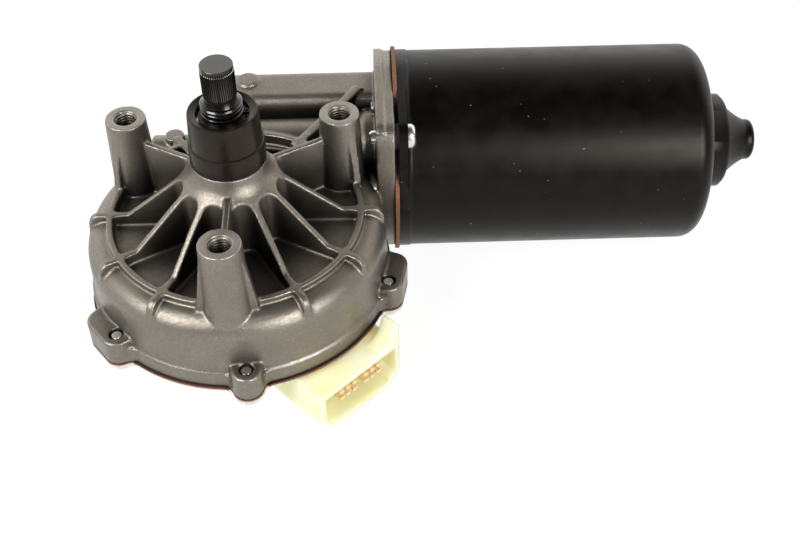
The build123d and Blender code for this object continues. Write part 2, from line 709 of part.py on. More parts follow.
def spindle():
    """The output spindle: splined end, journal, hub seat, and a groove at each end."""
    low, high = CIRCLIP_GROOVE
    return turned([(0, SPINDLE_END), (HUB_SEAT_R - 0.8, SPINDLE_END),
                   (HUB_SEAT_R, SPINDLE_END + 0.8), (HUB_SEAT_R, LOWER_GROOVE[0]),
                   (GROOVE_R - 0.5, LOWER_GROOVE[0]), (GROOVE_R - 0.5, LOWER_GROOVE[1]),
                   (HUB_SEAT_R, LOWER_GROOVE[1]), (HUB_SEAT_R, HUB_SEAT_TOP),
                   (JOURNAL_R, HUB_SEAT_TOP), (JOURNAL_R, low), (GROOVE_R, low),
                   (GROOVE_R, high), (JOURNAL_R, high), (JOURNAL_R, JOURNAL_TOP - 0.4),
                   (JOURNAL_R - 0.4, JOURNAL_TOP), (SPLINE_R - 0.3, SPLINE_FOOT - 0.4),
                   (SPLINE_R, SPLINE_FOOT), (SPLINE_R, SPINDLE_TOP - 1.0),
                   (SPLINE_R - 0.9, SPINDLE_TOP), (0, SPINDLE_TOP)])


def open_ring(inner, outer, low, high, gap):
    """A retaining ring with a gap and two eyes beside it."""
    with BuildPart() as clip:
        with BuildSketch(Plane.XY.offset(low)):
            Circle(outer)
            with Locations((outer - 0.4, gap), (outer - 0.4, -gap)):
                Circle(1.5)
            Circle(inner, mode=Mode.SUBTRACT)
            with Locations((outer, 0)):
                Rectangle(2 * outer, gap, mode=Mode.SUBTRACT)
            with Locations((outer - 0.4, gap), (outer - 0.4, -gap)):
                Circle(0.6, mode=Mode.SUBTRACT)
        extrude(amount=high - low)
    return clip.part


def circlips():
    with BuildPart() as clips:
        add(open_ring(GROOVE_R, 8.7, CIRCLIP_GROOVE[0] + 0.05, CIRCLIP_GROOVE[1] - 0.05, 1.8))
        add(open_ring(GROOVE_R - 0.5, 8.9, LOWER_GROOVE[0] + 0.05, LOWER_GROOVE[1] - 0.05, 2.0))
    return clips.part


def thrust_washers():
    with BuildPart() as washers:
        add(ring(JOURNAL_R, 9.6, NECK_TOP + 0.05, CIRCLIP_GROOVE[0]))
        add(ring(JOURNAL_R, 11.8, WHEEL_HUB_TOP, BUSH_BOSS_END - 0.05))
    return washers.part


def wheel_hub():
    return ring(HUB_SEAT_R, 13.0, LOWER_GROOVE[1], WHEEL_HUB_TOP)


def involute(angle):
    return tan(angle) - angle


def tooth_gap():
    """One gap between wheel teeth, with involute flanks, tilted by the worm's lead angle."""
    base_r = WHEEL_PITCH_R * cos(PRESSURE_ANGLE)
    half_pitch_gap = (pi / WHEEL_TEETH + TOOTH_PLAY / WHEEL_PITCH_R) / 2
    flank = []
    for radius in (WHEEL_ROOT_R, (WHEEL_ROOT_R + WHEEL_PITCH_R) / 2, WHEEL_PITCH_R,
                   WHEEL_TIP_R + 0.4):
        angle = acos(base_r / radius)
        half_gap = half_pitch_gap + involute(angle) - involute(PRESSURE_ANGLE)
        flank.append((radius * cos(half_gap), radius * sin(half_gap)))
    other = [(x, -y) for x, y in reversed(flank)]
    with BuildPart() as gap:
        with BuildSketch(Plane.XY.offset(MOTOR_Z)):
            with BuildLine():
                Polyline(*flank, *other, close=True)
            make_face()
        extrude(amount=WHEEL_HALF_FACE + 1, both=True,
                dir=Vector(0, LEAD / (2 * pi * WORM_PITCH_R), 1))
    return gap.part


def worm_wheel():
    """The moulded wheel: toothed rim, thin web with ribs, and a thick middle for the hub."""
    low, high = WHEEL_BOTTOM, MOTOR_Z + WHEEL_HALF_FACE
    gap = tooth_gap()
    with BuildPart() as wheel:
        add(turned([(13.0, low), (WHEEL_TIP_R - 0.5, low), (WHEEL_TIP_R, low + 0.5),
                    (WHEEL_TIP_R, high - 0.5), (WHEEL_TIP_R - 0.5, high), (43.0, high),
                    (42.0, -43.5), (20.0, -43.5), (17.5, high), (13.0, high)]))
        add(ring(34.5, 42.0, low - 1, -47.0), mode=Mode.SUBTRACT)
        for azimuth in range(0, 360, 45):
            with BuildSketch(radial_plane(azimuth)):
                Polygon((17.5, high - 0.6), (42.5, high - 0.6), (42.5, low + 0.6), (34.0, low + 0.6),
                        (34.0, -45.0), (17.5, -45.0), align=None)
            extrude(amount=1.0, both=True)
        with PolarLocations(0, WHEEL_TEETH, 90):
            add(gap, mode=Mode.SUBTRACT)
    return wheel.part


def contact_disc():
    """The park switch's disc under the wheel: its outer track is broken at the park place."""
    with BuildPart() as disc:
        with BuildSketch(Plane.XY.offset(WHEEL_BOTTOM - CONTACT_DISC_THICK)):
            Circle(33.5)
            Circle(19.0, mode=Mode.SUBTRACT)
            with Locations(polar(31.0, CONNECTOR_AZIMUTH)):
                Rectangle(5.4, 12.0, rotation=CONNECTOR_AZIMUTH, mode=Mode.SUBTRACT)
        extrude(amount=CONTACT_DISC_THICK)
    return disc.part


# ---------------------------------------------------------------- motor

def motor_gasket():
    """The card gasket: proud of the flange along its top and front, and short of the ears."""
    with BuildPart() as gasket:
        add(flange_slice(CAN_R, FLANGE_END, CAN_START, EAR_R - 1.0))
        with BuildSketch(cross_plane(FLANGE_END)):
            with Locations(GASKET_SHIFT):
                Circle(GASKET_R)
        extrude(amount=CAN_START - FLANGE_END)
        with BuildSketch(cross_plane(FLANGE_END)):
            Circle(GASKET_BORE_R)
            with PolarLocations(EAR_PITCH_R, 2, EAR_ANGLE):
                Circle(M5_R + 0.1)
        extrude(amount=CAN_START - FLANGE_END, mode=Mode.SUBTRACT)
    return gasket.part


def drawn_bend():
    """The bend from the can's body out to its flange, flattened round the screw heads."""
    near, far = CAN_R - 1, CAN_R + DRAW_R
    middle = DRAW_R * (1 - sqrt(0.5))
    end = CAN_FLANGE_END + DRAW_R
    with BuildPart() as bend:
        with BuildSketch(MOTOR_PLANE):
            with BuildLine():
                Line((CAN_FLANGE_END, near), (CAN_FLANGE_END, far))
                ThreePointArc((CAN_FLANGE_END, far), (CAN_FLANGE_END + middle, CAN_R + middle),
                              (end, CAN_R))
                Polyline((end, CAN_R), (end, near), (CAN_FLANGE_END, near))
            make_face()
        revolve(axis=MOTOR_AXIS)
        add(flange_slice(CAN_FLANGE_R, CAN_FLANGE_END, end, screw_hole=SCREW_HEAD_R + 0.2),
            mode=Mode.INTERSECT)
    return bend.part


def motor_can():
    """The deep-drawn steel can: screw flange, long body, rounded end and bearing boss."""
    corner = CAN_ROUNDING * (1 - sqrt(0.5))
    bend = CAN_END - CAN_ROUNDING
    inside = CAN_R - CAN_WALL
    end_inside = CAN_END - CAN_WALL
    boss_inside = REAR_BOSS_END - CAN_WALL
    with BuildPart() as can:
        add(flange_slice(CAN_FLANGE_R, CAN_START, CAN_FLANGE_END, bore=inside,
                         screw_hole=M5_R + 0.1))
        add(drawn_bend())
        with Locations((CAN_START, MOTOR_Y - CAN_FLANGE_R, FLANGE_SLOT[0])):
            Box(CAN_FLANGE_END - CAN_START, FLANGE_SLOT_DEPTH, FLANGE_SLOT[1] - FLANGE_SLOT[0],
                align=Align.MIN, mode=Mode.SUBTRACT)
        with BuildSketch(MOTOR_PLANE):
            with BuildLine():
                Polyline((CAN_START, inside), (CAN_START, CAN_R), (bend, CAN_R))
                ThreePointArc((bend, CAN_R), (CAN_END - corner, CAN_R - corner),
                              (CAN_END, CAN_R - CAN_ROUNDING))
                Polyline((CAN_END, CAN_R - CAN_ROUNDING), (CAN_END + 0.5, REAR_BOSS_R),
                         (REAR_BOSS_END - 1.5, REAR_BOSS_R), (REAR_BOSS_END, REAR_BOSS_R - 1.5),
                         (REAR_BOSS_END, 8.0), (boss_inside, 8.0), (boss_inside, REAR_BUSH_R),
                         (end_inside, REAR_BUSH_R), (end_inside, inside - 5.0),
                         (end_inside - 5.0, inside), (CAN_START, inside))
            make_face()
        revolve(axis=MOTOR_AXIS)
    return can.part


def rear_cap():
    """The pressed cap over the shaft's rear end, spread like a bell towards the can."""
    with BuildPart() as cap:
        with BuildSketch(MOTOR_PLANE):
            with BuildLine():
                Line((REAR_BOSS_END, 6.5), (REAR_BOSS_END, CAP_BRIM_R))
                ThreePointArc((REAR_BOSS_END, CAP_BRIM_R), (CAP_WAIST - 4.6, 11.3),
                              (CAP_WAIST, 8.5))
                Line((CAP_WAIST, 8.5), (CAP_END - 2.0, 8.5))
                ThreePointArc((CAP_END - 2.0, 8.5), (CAP_END - 0.6, 7.9), (CAP_END, 6.5))
                Polyline((CAP_END, 6.5), (CAP_END, 0), (CAP_END - 2, 0), (CAP_END - 2, 6.5),
                         (REAR_BOSS_END, 6.5))
            make_face()
        revolve(axis=MOTOR_AXIS)
    return cap.part


def motor_screws():
    """Two screws from the can side, whose tips just pass the cast ears."""
    screw = pan_screw(CAN_FLANGE_END - 51.4, SCREW_HEAD_R, 3.2)
    with BuildPart() as screws:
        with Locations(Plane(origin=(CAN_FLANGE_END, MOTOR_Y, MOTOR_Z), x_dir=(0, 1, 0),
                             z_dir=(-1, 0, 0))):
            with PolarLocations(EAR_PITCH_R, 2, -EAR_ANGLE):
                add(screw)
    return screws.part


def field_magnets():
    with BuildPart() as magnets:
        with BuildSketch(cross_plane(98.0)):
            Circle(MAGNET_R[1])
            Circle(MAGNET_R[0], mode=Mode.SUBTRACT)
            with PolarLocations(sum(MAGNET_R) / 2, 4, 45):
                Rectangle(12.0, 10.0, mode=Mode.SUBTRACT)
        extrude(amount=76.0)
    return magnets.part


def brush_holder():
    """A plate at the can's mouth with a box for each of the three brushes."""
    with BuildPart() as holder:
        with BuildSketch(cross_plane(BRUSH_PLATE_X[0])):
            Circle(MAGNET_R[1])
            Circle(COMMUTATOR_R + 2.5, mode=Mode.SUBTRACT)
        extrude(amount=BRUSH_PLATE_X[1] - BRUSH_PLATE_X[0])
        with BuildSketch(cross_plane(BRUSH_PLATE_X[1])):
            for angle in BRUSH_ANGLES:
                with Locations(Location((0, 0, 0), (0, 0, angle))):
                    with Locations((23.0, 0)):
                        Rectangle(12.6, 11.2)
        extrude(amount=19.5)
        with BuildSketch(cross_plane(BRUSH_X[0])):
            for angle in BRUSH_ANGLES:
                with Locations(Location((0, 0, 0), (0, 0, angle))):
                    with Locations((23.0, 0)):
                        Rectangle(16.0, 8.1)
        extrude(amount=BRUSH_X[1] - BRUSH_X[0], mode=Mode.SUBTRACT)
    return holder.part


def carbon_brushes():
    with BuildPart() as brushes:
        with BuildSketch(cross_plane(BRUSH_X[0] + 0.05)):
            for angle in BRUSH_ANGLES:
                with Locations(Location((0, 0, 0), (0, 0, angle))):
                    with Locations(((COMMUTATOR_R + 27.5) / 2, 0)):
                        Rectangle(27.5 - COMMUTATOR_R, 8.0)
            Circle(COMMUTATOR_R + 0.06, mode=Mode.SUBTRACT)
        extrude(amount=BRUSH_X[1] - BRUSH_X[0] - 0.1)
    return brushes.part


def brush_springs():
    """A leaf spring behind each brush, rising from the plate."""
    with BuildPart() as springs:
        for angle in BRUSH_ANGLES:
            a = radians(angle)
            plane = Plane(origin=(0, MOTOR_Y, MOTOR_Z), x_dir=(1, 0, 0),
                          z_dir=(0, sin(a), -cos(a)))
            with BuildSketch(plane):
                with BuildLine():
                    Polyline((BRUSH_PLATE_X[1], 31.0), (72.0, 31.0), (77.0, 27.5), (79.0, 27.5),
                             (80.5, 29.0), (80.1, 29.3), (78.7, 28.1), (77.4, 28.1),
                             (72.4, 31.6), (BRUSH_PLATE_X[1], 31.6), close=True)
                make_face()
            extrude(amount=2.5, both=True)
    return springs.part


def race(points_in, points_out, ball_r, pitch_r):
    """A bearing race with a round groove for the balls."""
    middle = sum(BEARING_X) / 2
    with BuildPart() as solid:
        with BuildSketch(MOTOR_PLANE):
            with Locations((middle, (points_in + points_out) / 2)):
                Rectangle(BEARING_X[1] - BEARING_X[0], points_out - points_in)
            with Locations((middle, pitch_r)):
                Circle(ball_r + RUNNING_GAP, mode=Mode.SUBTRACT)
        revolve(axis=MOTOR_AXIS)
    return solid.part


def bearing_outer_race():
    return race(10.6, BEARING_R, BALL_R, BALL_PITCH_R)


def bearing_inner_race():
    return race(SHAFT_R, 7.4, BALL_R, BALL_PITCH_R)


def bearing_balls():
    with BuildPart() as balls:
        with Locations(cross_plane(sum(BEARING_X) / 2)):
            with PolarLocations(BALL_PITCH_R, 7):
                Sphere(BALL_R)
    return balls.part


def bearing_retainer():
    return motor_ring(9.5, 20.0, FLANGE_STEP, FLANGE_STEP + 1.2, 0.3)


def rear_bush():
    return motor_ring(4.5 + RUNNING_GAP, REAR_BUSH_R, REAR_JOURNAL + 1, REAR_BOSS_END - CAN_WALL)


def tail_bush():
    return motor_ring(4.0 + RUNNING_GAP, TAIL_BORE_R, -34.6, -24.4)


def thrust_screw():
    """The grub screw in the tail that takes up the shaft's end play, with its slot."""
    with BuildPart() as screw:
        add(motor_ring(0, THRUST_SCREW_R, -39.6, -35.3))
        with BuildSketch(cross_plane(-39.6)):
            Rectangle(9, 1.2)
        extrude(amount=1.5, mode=Mode.SUBTRACT)
    return screw.part


def suppression_chokes():
    """Two rod chokes in the chamber behind the worm: a coil with a ferrite end each side."""
    with BuildPart() as chokes:
        for across in (-3.9, 3.9):
            axis_y = MOTOR_Y + CHAMBER_CENTRE[0] + across
            axis_z = MOTOR_Z + CHAMBER_CENTRE[1]
            plane = Plane(origin=(0, axis_y, axis_z), x_dir=(1, 0, 0), z_dir=(0, -1, 0))
            with BuildSketch(plane):
                Polygon((4, 0), (4, 2.2), (9, 2.2), (9, 3.6), (33, 3.6), (33, 2.2), (38, 2.2),
                        (38, 0), align=None)
            revolve(axis=Axis((0, axis_y, axis_z), (1, 0, 0)))
    return chokes.part


# ---------------------------------------------------------------- armature

def worm_thread():
    """A trapezoid thread swept along a helix. It starts above the axis, a quarter turn
    before the wheel's side, so a thread faces the wheel at x = 0."""
    start = (-WORM_HALF_LENGTH, MOTOR_Y, MOTOR_Z + WORM_PITCH_R)
    half_pitch = (LEAD / 2 - TOOTH_PLAY) / 2
    half_tip = half_pitch - ADDENDUM * tan(PRESSURE_ANGLE)
    sunk = DEDENDUM + 0.4
    half_root = half_pitch + sunk * tan(PRESSURE_ANGLE)
    with BuildPart() as thread:
        with BuildLine() as path:
            Helix(LEAD, 2 * WORM_HALF_LENGTH, WORM_PITCH_R,
                  center=(-WORM_HALF_LENGTH, MOTOR_Y, MOTOR_Z), direction=(1, 0, 0))
        with BuildSketch(Plane(origin=start, x_dir=(0, 0, 1), z_dir=(0, 1, 0))):
            Polygon((-sunk, -half_root), (ADDENDUM, -half_tip), (ADDENDUM, half_tip),
                    (-sunk, half_root), align=None)
        sweep(path=path.wires()[0], is_frenet=True)
    return thread.part


def armature_shaft():
    """The armature shaft from the tail journal to the rear journal, with the worm on it."""
    with BuildPart() as shaft:
        add(turned([(-35.2, 0), (-35.2, 3.2), (-34.4, 4.0), (-23.8, 4.0), (-23.2, WORM_ROOT_R),
                    (26.0, WORM_ROOT_R), (26.4, SHAFT_R), (REAR_JOURNAL - 0.4, SHAFT_R),
                    (REAR_JOURNAL, 4.5), (SHAFT_END - 0.8, 4.5), (SHAFT_END, 3.7),
                    (SHAFT_END, 0)], MOTOR_PLANE, MOTOR_AXIS))
        add(worm_thread())
    return shaft.part


def armature_core():
    """The lamination stack, with twelve slots for the coils."""
    with BuildPart() as core:
        with BuildSketch(cross_plane(CORE_X[0])):
            Circle(CORE_R)
            Circle(SHAFT_R, mode=Mode.SUBTRACT)
            with PolarLocations(0, SLOTS):
                with Locations((SLOT_PITCH_R, 0)):
                    Circle(SLOT_R, mode=Mode.SUBTRACT)
                with Locations((CORE_R, 0)):
                    Rectangle(2 * (CORE_R - SLOT_PITCH_R), 2.4, mode=Mode.SUBTRACT)
        extrude(amount=CORE_X[1] - CORE_X[0])
    return core.part


def armature_windings():
    """The coils: a bundle in each slot, and a round bank of end turns at both ends."""
    with BuildPart() as coils:
        for start, direction in ((CORE_X[0], -1), (CORE_X[1], 1)):
            with BuildSketch(MOTOR_PLANE):
                with Locations((start + direction * 6.0, 18.0)):
                    RectangleRounded(12.0, 19.0, 4.5)
            revolve(axis=MOTOR_AXIS)
        with BuildSketch(cross_plane(CORE_X[0] - 2)):
            with PolarLocations(SLOT_PITCH_R, SLOTS):
                Circle(SLOT_R - 0.1)
        extrude(amount=CORE_X[1] - CORE_X[0] + 4)
    return coils.part


def commutator():
    with BuildPart() as bars:
        add(turned([(COMMUTATOR_X[0], SHAFT_R), (COMMUTATOR_X[0], COMMUTATOR_R),
                    (89.6, COMMUTATOR_R), (89.6, 15.4), (COMMUTATOR_X[1], 15.4),
                    (COMMUTATOR_X[1], SHAFT_R)], MOTOR_PLANE, MOTOR_AXIS))
        with BuildSketch(cross_plane(COMMUTATOR_X[0] - 1)):
            with PolarLocations(COMMUTATOR_R + 1.0, 2 * SLOTS):
                Rectangle(4.0, 0.7)
        extrude(amount=COMMUTATOR_X[1] - COMMUTATOR_X[0] + 2, mode=Mode.SUBTRACT)
    return bars.part


PARTS = (gear_housing, gear_cover, cover_gasket, cover_screws, sealing_sleeve, spindle_seal,
         upper_bush, lower_bush, connector_housing, connector_terminals, contact_plate,
         contact_springs, motor_can, rear_cap, motor_gasket, motor_screws, field_magnets,
         brush_holder, carbon_brushes, brush_springs, bearing_outer_race, bearing_balls,
         bearing_retainer, rear_bush, tail_bush, thrust_screw, suppression_chokes,
         spindle, circlips, thrust_washers, wheel_hub, worm_wheel, contact_disc,
         armature_shaft, armature_core, armature_windings, commutator, bearing_inner_race)


def main():
    os.makedirs("parts", exist_ok=True)
    for make in PARTS:
        solid = make()
        solid.label = make.__name__
        export_step(solid, f"parts/{make.__name__}.step")


main()
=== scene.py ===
"""Heavy-duty wiper motor: the finish of every visible surface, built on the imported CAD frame.

Lengths are metres, and outlines are written in millimetres. The frame's origin is on the
spindle axis at the height of the mounting post tops, +Z runs up the spindle and +X runs along
the motor.
"""

import json
from math import atan2, cos, pi, radians, sin

import bmesh
import bpy
from mathutils import Matrix, Vector, noise

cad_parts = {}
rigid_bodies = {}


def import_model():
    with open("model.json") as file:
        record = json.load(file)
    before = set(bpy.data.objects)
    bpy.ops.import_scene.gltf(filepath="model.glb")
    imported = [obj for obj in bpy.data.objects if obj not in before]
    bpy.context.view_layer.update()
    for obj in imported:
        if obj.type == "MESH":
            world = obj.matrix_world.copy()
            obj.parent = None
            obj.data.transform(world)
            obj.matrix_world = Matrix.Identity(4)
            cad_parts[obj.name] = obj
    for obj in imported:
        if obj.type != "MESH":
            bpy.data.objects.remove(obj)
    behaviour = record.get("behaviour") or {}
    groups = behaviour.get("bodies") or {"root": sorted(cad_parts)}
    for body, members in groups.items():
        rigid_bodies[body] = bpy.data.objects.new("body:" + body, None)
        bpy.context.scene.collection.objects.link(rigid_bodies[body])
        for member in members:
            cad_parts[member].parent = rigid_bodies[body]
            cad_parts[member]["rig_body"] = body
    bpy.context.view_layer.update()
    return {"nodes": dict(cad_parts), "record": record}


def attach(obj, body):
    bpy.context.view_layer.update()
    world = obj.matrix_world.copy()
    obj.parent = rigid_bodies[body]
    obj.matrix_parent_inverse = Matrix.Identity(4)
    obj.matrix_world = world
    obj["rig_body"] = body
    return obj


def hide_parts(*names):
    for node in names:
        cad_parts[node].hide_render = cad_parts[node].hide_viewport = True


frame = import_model()
scene = bpy.context.scene
slot_of = {part["node"]: part["material_slot"] for part in frame["record"]["subparts"]}

# Sizes and places that several pieces share
MM = 0.001
MOTOR_AXIS_Y = 57.6 * MM
MOTOR_AXIS_Z = -46.0 * MM
FLANGE_FACE_X = 61.2              # the motor gasket lies between this face and the can, in mm
POST_PITCH_R = 46.5 * MM
POST_AZIMUTHS = (30, 150, 270)
EAR_PITCH_R = 46.5 * MM
EAR_ANGLES = (135.2, 315.2)       # round the motor's axis, from +Y towards +Z


# ---------------------------------------------------------------- mesh helpers

def polar(radius, azimuth, height=0.0):
    """A point at a radius and azimuth (degrees) round the spindle."""
    return Vector((radius * cos(radians(azimuth)), radius * sin(radians(azimuth)), height))


def add_piece(name, shape, body, slot, smooth_angle=35.0):
    """Turns a bmesh in place into a piece with its slot's finish, which rides on a body."""
    mesh = bpy.data.meshes.new(name)
    bmesh.ops.recalc_face_normals(shape, faces=shape.faces)
    shape.to_mesh(mesh)
    shape.free()
    mesh.shade_smooth()
    mesh.set_sharp_from_angle(angle=radians(smooth_angle))
    mesh.materials.append(finishes[slot])
    piece = bpy.data.objects.new(name, mesh)
    scene.collection.objects.link(piece)
    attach(piece, body)
    return piece


def lathe(outline, steps=128, axis="Z"):
    """Spins an outline of (radius, height) in mm into a closed turned shape."""
    shape = bmesh.new()
    verts = [shape.verts.new((r * MM, 0, z * MM)) for r, z in outline]
    edges = [shape.edges.new(pair) for pair in zip(verts, verts[1:])]
    bmesh.ops.spin(shape, geom=verts + edges, cent=(0, 0, 0), axis=(0, 0, 1),
                   angle=2 * pi, steps=steps, use_merge=True)
    bmesh.ops.remove_doubles(shape, verts=shape.verts, dist=1e-7)
    if axis == "X":
        turn = Matrix.Rotation(radians(90), 4, "Y")
        bmesh.ops.transform(shape, matrix=turn, verts=shape.verts)
    return shape


def repeated(shape, places):
    """The shape at each of several places, in one bmesh."""
    pattern = bpy.data.meshes.new("pattern")
    shape.to_mesh(pattern)
    shape.free()
    whole = bmesh.new()
    for place in places:
        start = len(whole.verts)
        whole.from_mesh(pattern)
        whole.verts.ensure_lookup_table()
        bmesh.ops.transform(whole, matrix=place, verts=whole.verts[start:])
    return whole


def merged_copy(node):
    """A bmesh of a CAD node's triangles, merged, with its flat faces whole again."""
    shape = bmesh.new()
    shape.from_mesh(frame["nodes"][node].data)
    bmesh.ops.remove_doubles(shape, verts=shape.verts, dist=2e-6)
    bmesh.ops.dissolve_limit(shape, angle_limit=radians(0.5), verts=shape.verts,
                             edges=shape.edges)
    return shape


def settle_modifiers(piece):
    """Applies a piece's modifiers to its mesh."""
    depsgraph = bpy.context.evaluated_depsgraph_get()
    settled = bpy.data.meshes.new_from_object(piece.evaluated_get(depsgraph))
    piece.modifiers.clear()
    piece.data = settled


def ears_at(x):
    """The places of the motor flange's two screws, at x along the motor."""
    return [Matrix.Translation((x, MOTOR_AXIS_Y + EAR_PITCH_R * cos(radians(angle)),
                                MOTOR_AXIS_Z + EAR_PITCH_R * sin(radians(angle))))
            for angle in EAR_ANGLES]


# ---------------------------------------------------------------- finish helpers

def srgb(code):
    """An sRGB hex colour as a linear RGBA value."""
    channels = [int(code[i:i + 2], 16) / 255 for i in (1, 3, 5)]
    linear = [c / 12.92 if c <= 0.04045 else ((c + 0.055) / 1.055) ** 2.4 for c in channels]
    return (*linear, 1.0)


def feed(node, inputs):
    """Sets a node's inputs. A node or a socket is linked, and any other value is set. A node
    is linked by the first output that its settings leave in use."""
    for name, value in inputs.items():
        if isinstance(value, bpy.types.Node):
            value = next(output for output in value.outputs if output.enabled)
        if isinstance(value, bpy.types.NodeSocket):
            node.id_data.links.new(value, node.inputs[name])
        else:
            node.inputs[name].default_value = value


def add_node(tree, kind, inputs=None, **settings):
    """Adds one shader node, with its settings and its inputs."""
    node = tree.nodes.new(f"ShaderNode{kind}")
    for name, value in settings.items():
        setattr(node, name, value)
    feed(node, inputs or {})
    return node


def start_finish(name):
    """A material with its Principled shader, and object coordinates to pattern it."""
    material = bpy.data.materials.new(name)
    material.use_nodes = True
    tree = material.node_tree
    place = add_node(tree, "TexCoord").outputs["Object"]
    return material, tree, tree.nodes["Principled BSDF"], place


# ---------------------------------------------------------------- finishes
#
# Grit, fibres and tool marks are finer on the real parts. Here each is drawn as coarse as it
# has to be to show.

CAST_PATCH = 16.0 * MM            # slow changes of tone along the casting's skin
CAST_GRIT = 0.9 * MM
DIE_WAVE = 6.0 * MM               # the unevenness of a worn die
POCKET_SHADE_REACH = 18.0 * MM        # walls nearer than this darken the skin with painted shade
TOOL_FEED = 0.7 * MM              # between the rings of a facing tool


def faced_post_tops(tree, place):
    """Where the post tops are faced off, and the rings that the facing tool leaves there."""
    axes = add_node(tree, "SeparateXYZ", {"Vector": place})
    faced = add_node(tree, "MapRange", {"Value": axes.outputs["Z"], "From Min": -0.35 * MM,
                                        "From Max": -0.2 * MM})
    right, left, front = (
        add_node(tree, "VectorMath", {0: place, 1: polar(POST_PITCH_R, azimuth)},
                 operation="DISTANCE").outputs["Value"] for azimuth in POST_AZIMUTHS)
    nearest = add_node(tree, "Math", {0: right, 1: left}, operation="MINIMUM")
    nearest = add_node(tree, "Math", {0: nearest, 1: front}, operation="MINIMUM")
    turns = add_node(tree, "Math", {0: nearest, 1: 2 * pi / TOOL_FEED}, operation="MULTIPLY")
    wave = add_node(tree, "Math", {0: turns}, operation="SINE")
    rings = add_node(tree, "Math", {0: wave, 1: faced}, operation="MULTIPLY")
    return faced, rings


def die_cast_aluminium():
    """Pressure die-cast aluminium, tumbled: a warm grey metal skin, bright on its edges, partly
    bare from tumbling and partly a painted highlight, and with painted shade down in its
    pockets."""
    material, tree, shader, place = start_finish("die_cast_aluminium")
    patches = add_node(tree, "TexNoise", {"Vector": place, "Scale": 1 / CAST_PATCH,
                                          "Detail": 4.0, "Roughness": 0.55})
    patches = add_node(tree, "MapRange", {"Value": patches, "From Min": 0.35,
                                          "From Max": 0.68})
    grit = add_node(tree, "TexNoise", {"Vector": place, "Scale": 1 / CAST_GRIT,
                                       "Detail": 5.0, "Roughness": 0.75})
    dark_grit = add_node(tree, "MapRange", {"Value": grit, "From Min": 0.35, "From Max": 0.65,
                                            "To Max": 0.55})
    # painted shade: the skin darkens towards near black where walls stand close round it
    reach = add_node(tree, "AmbientOcclusion", {"Distance": POCKET_SHADE_REACH}, samples=6)
    painted_pocket_shade = add_node(tree, "MapRange", {"Value": reach.outputs["AO"], "From Min": 0.80,
                                         "From Max": 0.28, "To Max": 0.9})
    # bare edges where the tumbling rubbed the skin, brightened further as a painted highlight
    crest = add_node(tree, "Attribute", attribute_name="crest").outputs["Fac"]
    bare_and_highlight = add_node(tree, "MapRange", {"Value": crest, "From Min": 0.05, "From Max": 0.26,
                                       "To Max": 0.9})
    faced, rings = faced_post_tops(tree, place)

    skin = add_node(tree, "Mix", {0: patches, 6: srgb("#7f7970"), 7: srgb("#8b857b")},
                    data_type="RGBA")
    for share, colour in ((dark_grit, "#68635a"), (painted_pocket_shade, "#1f1c18"), (bare_and_highlight, "#e4e0d8"),
                          (faced, "#938d85")):
        skin = add_node(tree, "Mix", {0: share, 6: skin, 7: srgb(colour)}, data_type="RGBA")

    roughness = add_node(tree, "MapRange", {"Value": grit, "From Min": 0.35, "From Max": 0.65,
                                            "To Min": 0.31, "To Max": 0.47})
    polish = add_node(tree, "MapRange", {"Value": crest, "From Min": 0.05, "From Max": 0.26,
                                         "To Max": 0.12})
    roughness = add_node(tree, "Math", {0: roughness, 1: polish}, operation="SUBTRACT")

    waves = add_node(tree, "TexNoise", {"Vector": place, "Scale": 1 / DIE_WAVE, "Detail": 2.0,
                                        "Roughness": 0.55})
    dents = add_node(tree, "TexNoise", {"Vector": place, "Scale": 1 / CAST_GRIT, "Detail": 4.0,
                                        "Roughness": 0.7})
    relief = add_node(tree, "Bump", {"Height": waves, "Distance": 0.08 * MM, "Strength": 0.5})
    relief = add_node(tree, "Bump", {"Height": dents, "Distance": 0.12 * MM, "Strength": 1.0,
                                     "Normal": relief})
    relief = add_node(tree, "Bump", {"Height": rings, "Distance": 0.03 * MM, "Strength": 0.8,
                                     "Normal": relief})
    feed(shader, {"Base Color": skin, "Metallic": 0.9, "Roughness": roughness,
                  "Normal": relief})
    return material


def fine_grained(name, colour, shade, tones, roughness, play, grain, broad, depth):
    """A finish with a fine grain between two tones, and a broader one in its roughness. tones
    are where the grain starts and ends its change of tone, and play is how far the roughness
    strays."""
    material, tree, shader, place = start_finish(name)
    speckle = add_node(tree, "TexNoise", {"Vector": place, "Scale": 1 / (grain * MM),
                                          "Detail": 4.0, "Roughness": 0.55})
    share = add_node(tree, "MapRange", {"Value": speckle, "From Min": tones[0],
                                        "From Max": tones[1]})
    cloud = add_node(tree, "TexNoise", {"Vector": place, "Scale": 1 / (grain * broad * MM),
                                        "Detail": 3.0, "Roughness": 0.55})
    feed(shader, {
        "Base Color": add_node(tree, "Mix", {0: share, 6: srgb(shade), 7: srgb(colour)},
                               data_type="RGBA"),
        "Roughness": add_node(tree, "MapRange", {
            "Value": cloud, "From Min": 0.3, "From Max": 0.7,
            "To Min": roughness - play, "To Max": roughness + play}),
        "Normal": add_node(tree, "Bump", {"Height": speckle, "Distance": depth * MM,
                                          "Strength": 0.5})})
    return material, shader


def plain_metal(name, colour, shade, roughness, grain, depth, metallic=1.0):
    """A metal that comes plated, turned, stamped or sintered. grain and depth are in mm."""
    material, shader = fine_grained(name, colour, shade, (0.35, 0.65), roughness, 0.06, grain,
                                    4, depth)
    feed(shader, {"Metallic": metallic})
    return material


def plain_polymer(name, colour, shade, roughness, grain, depth, ior=1.5, sheen="#ffffff"):
    """A moulded, pressed or laminated plastic or rubber. grain and depth are in mm."""
    material, shader = fine_grained(name, colour, shade, (0.3, 0.7), roughness, 0.05, grain,
                                    5, depth)
    feed(shader, {"IOR": ior, "Specular Tint": srgb(sheen)})
    return material


